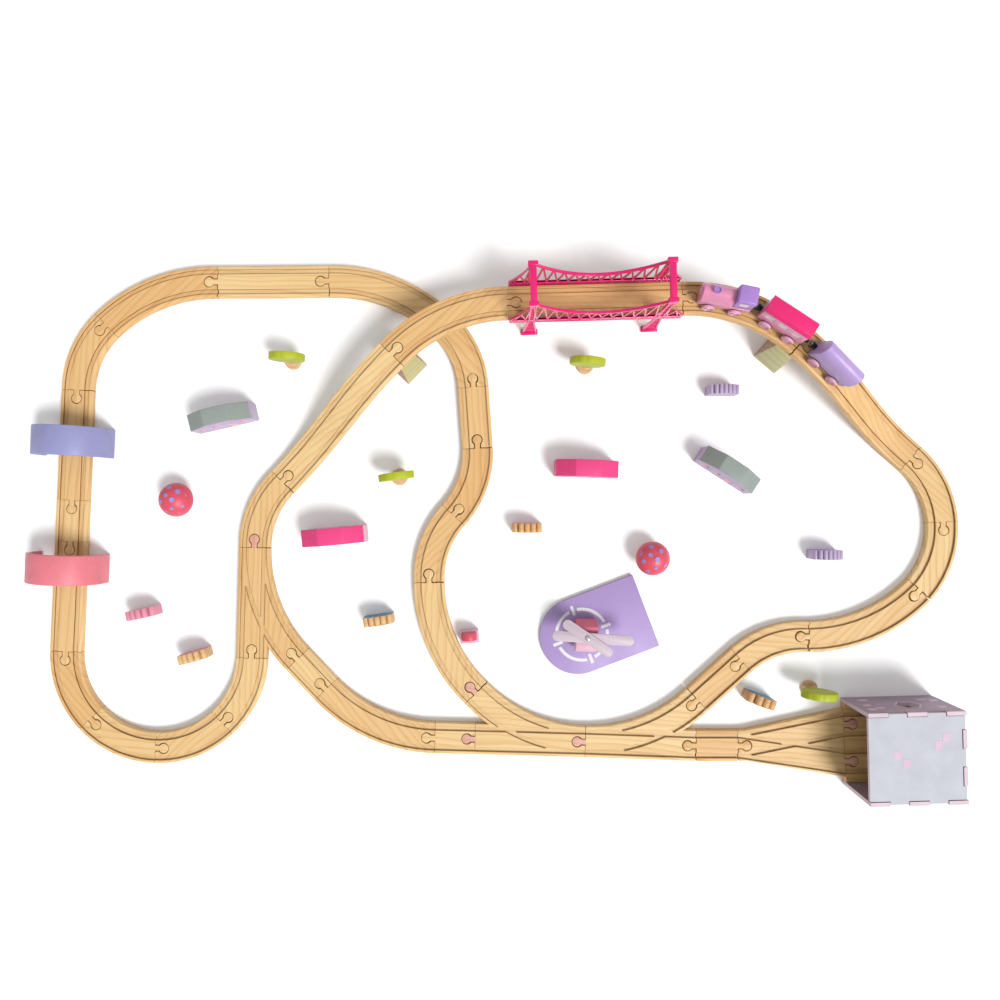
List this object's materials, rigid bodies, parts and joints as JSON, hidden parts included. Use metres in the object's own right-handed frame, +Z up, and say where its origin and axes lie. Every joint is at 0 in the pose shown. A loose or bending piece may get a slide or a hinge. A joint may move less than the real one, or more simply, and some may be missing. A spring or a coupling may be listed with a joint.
{
  "type": "wooden train set",
  "caption": "Plug-together wooden track with turnouts, ramps, a raised lattice bridge, a coupled train, a shed, a helicopter on its pad, arches and small scenery.",
  "frame": {"origin": "centre of the set's plan, on the floor it stands on", "axes": "+X along the set towards the shed, +Y towards the bridge side, +Z up"},
  "size_m": [1.2116, 0.6814, 0.162],
  "materials": {
    "beech": "satin, open grain",
    "riser_wood": "matte",
    "bridge_pink": "gloss",
    "arch_coral": "satin paint",
    "arch_plum": "satin paint",
    "train_pink": "satin paint",
    "train_lavender": "satin paint",
    "roof_hot_pink": "satin paint",
    "wheel_pink": "gloss",
    "coupler_black": "gloss",
    "magnet_steel": "bright",
    "peg_pink": "satin",
    "shed_ply": "matte print",
    "pad_lilac": "satin paint",
    "ring_white": "printed paint",
    "heli_coral": "satin paint",
    "blade_wood": "matte",
    "house_lavender": "satin paint",
    "house_grey": "satin paint",
    "house_pink": "satin paint",
    "leaf_green": "satin paint",
    "toadstool_red": "satin paint",
    "figure_tan": "satin"
  },
  "bodies": {
    "root": {"track_south_diagonal": "beech", "track_south_short": "beech", "track_uturn_first": "beech", "track_uturn_second": "beech", "track_west_straight": "beech", "track_northwest_curve": "beech", "track_north_straight": "beech", "track_under_bridge_curve": "beech", "track_middle_curve": "beech", "track_middle_bends": "beech", "track_middle_sweep": "beech", "track_west_curve": "beech", "raised_curve_west": "beech", "bridge_deck": "beech", "raised_curve_east": "beech", "track_east_bend": "beech", "track_southeast_sweep": "beech", "track_southeast_bend": "beech", "ramp_west": "beech", "ramp_east": "beech", "turnout_west": "beech", "turnout_middle": "beech", "turnout_yard": "beech", "track_yard_short": "beech", "yard_splitter": "beech", "riser_west": "riser_wood", "riser_east": "riser_wood", "bridge_frame": "bridge_pink", "arch_pink": "arch_coral", "arch_lavender": "arch_plum", "shed_floor": "beech", "shed_wall_north": "shed_ply", "shed_wall_south": "shed_ply", "shed_back": "shed_ply", "shed_roof": "shed_ply", "pad_plate": "pad_lilac", "heli_body": "heli_coral", "house_grey_west": "house_lavender", "house_grey_east": "house_lavender", "house_pink_west": "house_pink", "house_pink_east": "house_pink", "tree_northwest": "leaf_green", "tree_north": "leaf_green", "tree_middle": "leaf_green", "tree_south": "leaf_green", "toadstool_west": "toadstool_red", "toadstool_east": "toadstool_red"},
    "loco": {"loco_body": "train_pink", "loco_cab": "train_lavender"},
    "coach": {"coach_body": "train_pink", "coach_roof": "roof_hot_pink"},
    "wagon": {"wagon_body": "train_lavender"},
    "loco_front_axle": {"loco_wheels_front": "wheel_pink"},
    "loco_rear_axle": {"loco_wheels_rear": "wheel_pink"},
    "coach_front_axle": {"coach_wheels_front": "wheel_pink"},
    "coach_rear_axle": {"coach_wheels_rear": "wheel_pink"},
    "wagon_front_axle": {"wagon_wheels_front": "wheel_pink"},
    "wagon_rear_axle": {"wagon_wheels_rear": "wheel_pink"},
    "rotor_long": {"rotor_blade_long": "blade_wood"},
    "rotor_short": {"rotor_blade_short": "blade_wood"}
  },
  "joints": [
    {"name": "train_travel", "type": "hinge", "parent": "root", "child": "loco", "pos_m": [0.24107, 0.07964, 0.074], "axis": [0, 0, 1], "range_deg": [-2.5, 5.5]},
    {"name": "coach_travel", "type": "hinge", "parent": "root", "child": "coach", "pos_m": [0.24107, 0.07964, 0.074], "axis": [0, 0, 1], "range_deg": [-2.55, 5.55]},
    {"name": "wagon_travel", "type": "hinge", "parent": "root", "child": "wagon", "pos_m": [0.37967, 0.22935, -0.116], "axis": [-0.6494, -0.7604, 0], "range_deg": [-2.75, 5.95]},
    {"name": "loco_front_roll", "type": "hinge", "parent": "loco", "child": "loco_front_axle", "pos_m": [0.2636, 0.28239, 0.0793], "axis": [-0.1905, -0.9817, 0], "range_deg": [-65, 142]},
    {"name": "loco_rear_roll", "type": "hinge", "parent": "loco", "child": "loco_rear_axle", "pos_m": [0.296, 0.2761, 0.0793], "axis": [-0.1905, -0.9817, 0], "range_deg": [-65, 142]},
    {"name": "coach_front_roll", "type": "hinge", "parent": "coach", "child": "coach_front_axle", "pos_m": [0.33806, 0.2591, 0.0793], "axis": [-0.5451, -0.8384, 0], "range_deg": [-65, 142]},
    {"name": "coach_rear_roll", "type": "hinge", "parent": "coach", "child": "coach_rear_axle", "pos_m": [0.36573, 0.24112, 0.0793], "axis": [-0.5451, -0.8384, 0], "range_deg": [-65, 142]},
    {"name": "wagon_front_roll", "type": "hinge", "parent": "wagon", "child": "wagon_front_axle", "pos_m": [0.39966, 0.21227, 0.0775], "axis": [-0.6494, -0.7604, 0], "range_deg": [-65, 142]},
    {"name": "wagon_rear_roll", "type": "hinge", "parent": "wagon", "child": "wagon_rear_axle", "pos_m": [0.42416, 0.19136, 0.07031], "axis": [-0.6494, -0.7604, 0], "range_deg": [-65, 142]},
    {"name": "long_blade_spin", "type": "hinge", "parent": "root", "child": "rotor_long", "pos_m": [0.11804, -0.14127, 0.0423], "axis": [0, 0, 1], "continuous": true},
    {"name": "short_blade_spin", "type": "hinge", "parent": "root", "child": "rotor_short", "pos_m": [0.11804, -0.14127, 0.0423], "axis": [0, 0, 1], "continuous": true}
  ],
  "couplings": [
    {"joint": "coach_travel", "follows": "train_travel", "ratio": 1},
    {"joint": "wagon_travel", "follows": "train_travel", "ratio": 1.0737},
    {"joint": "loco_front_roll", "follows": "train_travel", "ratio": 25.5},
    {"joint": "loco_rear_roll", "follows": "train_travel", "ratio": 25.5},
    {"joint": "coach_front_roll", "follows": "train_travel", "ratio": 25.5},
    {"joint": "coach_rear_roll", "follows": "train_travel", "ratio": 25.5},
    {"joint": "wagon_front_roll", "follows": "train_travel", "ratio": 25.5},
    {"joint": "wagon_rear_roll", "follows": "train_travel", "ratio": 25.5}
  ]
}
